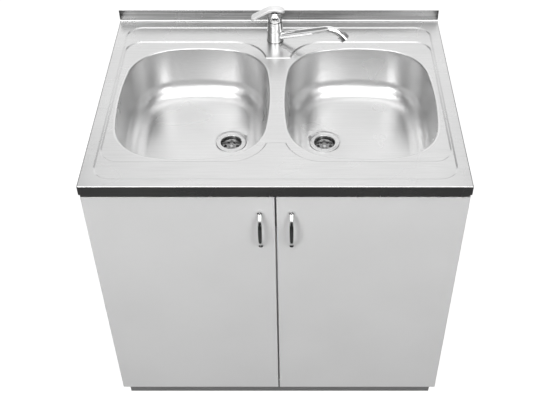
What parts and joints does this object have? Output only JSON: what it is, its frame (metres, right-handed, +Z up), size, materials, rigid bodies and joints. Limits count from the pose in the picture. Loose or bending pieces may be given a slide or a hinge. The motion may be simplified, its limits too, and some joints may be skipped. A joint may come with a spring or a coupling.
{
  "type": "kitchen sink unit",
  "caption": "Fitted kitchen sink unit: pressed steel worktop with twin drawn bowls and a single-lever swivel tap on a grey hinged-door cabinet with bow handles and recessed plinth.",
  "frame": {"origin": "on the floor under the middle of the whole unit's bounding box", "axes": "+Z up, doors face -Y, +X to the right seen from the doors"},
  "size_m": [0.8, 0.643, 0.8863],
  "materials": {
    "worktop_steel": "brushed, left to right",
    "bowl_steel": "satin drawn steel",
    "carcass_board": "melamine-faced board",
    "back_board": "painted hardboard",
    "plinth_grey": "dark grey laminate",
    "dowel_wood": "bare beech",
    "glide_plastic": "moulded",
    "bumper_rubber": "soft pad",
    "bracket_steel": "nickel-plated",
    "screw_steel": "zinc-plated",
    "door_grey": "satin light grey laminate",
    "handle_chrome": "polished",
    "waste_steel": "bright steel",
    "seal_rubber": "matt",
    "waste_plastic": "white polypropylene",
    "tap_chrome": "polished",
    "lever_satin": "satin chrome",
    "cartridge_plastic": "moulded",
    "tap_fixing": "turned",
    "hose_braid": "braided sleeve",
    "nut_plated": "nickel-plated"
  },
  "bodies": {
    "unit": {"sink_deck": "worktop_steel", "bowl_left": "bowl_steel", "bowl_right": "bowl_steel", "side_panel_left": "carcass_board", "side_panel_right": "carcass_board", "bottom_panel": "carcass_board", "front_rail": "carcass_board", "rear_rail": "carcass_board", "back_panel": "back_board", "plinth_board": "plinth_grey", "cabinet_dowels": "dowel_wood", "glides": "glide_plastic", "bumpers": "bumper_rubber", "sink_clips": "bracket_steel", "hinge_plates": "bracket_steel", "hinge_arm_left_low": "bracket_steel", "hinge_arm_left_high": "bracket_steel", "hinge_arm_right_low": "bracket_steel", "hinge_arm_right_high": "bracket_steel", "clip_screws": "screw_steel", "plate_screws": "screw_steel", "hinge_pins": "screw_steel", "waste_screws": "screw_steel", "waste_flange_left": "waste_steel", "waste_flange_right": "waste_steel", "waste_seals": "seal_rubber", "tap_gasket": "seal_rubber", "waste_body_left": "waste_plastic", "waste_body_right": "waste_plastic", "waste_tee": "waste_plastic", "slip_nuts": "waste_plastic", "trap_body": "waste_plastic", "trap_cup": "waste_plastic", "outlet_pipe": "waste_plastic", "tap_base_ring": "tap_chrome", "tap_body": "tap_chrome", "tap_dome": "tap_chrome", "cartridge": "cartridge_plastic", "tap_clamp": "tap_fixing", "tap_nut": "tap_fixing", "tap_hoses": "hose_braid", "hose_nuts": "nut_plated"},
    "left_door": {"door_left": "door_grey", "handle_left": "handle_chrome", "handle_screws_left": "screw_steel", "cup_screws_left": "screw_steel", "hinge_cup_left_low": "bracket_steel", "hinge_cup_left_high": "bracket_steel"},
    "right_door": {"door_right": "door_grey", "handle_right": "handle_chrome", "handle_screws_right": "screw_steel", "cup_screws_right": "screw_steel", "hinge_cup_right_low": "bracket_steel", "hinge_cup_right_high": "bracket_steel"},
    "spout": {"spout": "tap_chrome", "aerator": "tap_chrome"},
    "lever_guide": {"cartridge_guide": "cartridge_plastic"},
    "lever": {"lever": "lever_satin"}
  },
  "joints": [
    {"name": "left_door_hinge", "type": "hinge", "parent": "unit", "child": "left_door", "pos_m": [-0.39, -0.288, 0.4355], "axis": [0, 0, -1], "range_deg": [0, 95]},
    {"name": "right_door_hinge", "type": "hinge", "parent": "unit", "child": "right_door", "pos_m": [0.39, -0.288, 0.4355], "axis": [0, 0, 1], "range_deg": [0, 95]},
    {"name": "spout_swivel", "type": "hinge", "parent": "unit", "child": "spout", "pos_m": [-0.008, 0.2395, 0.814], "axis": [0, 0, 1], "range_deg": [-158, 22]},
    {"name": "lever_turn", "type": "hinge", "parent": "unit", "child": "lever_guide", "pos_m": [-0.008, 0.2395, 0.85], "axis": [0, 0, 1], "range_deg": [0, 100]},
    {"name": "lever_lift", "type": "hinge", "parent": "lever_guide", "child": "lever", "pos_m": [-0.008, 0.2395, 0.86], "axis": [0, 1, 0], "range_deg": [0, 20]}
  ]
}
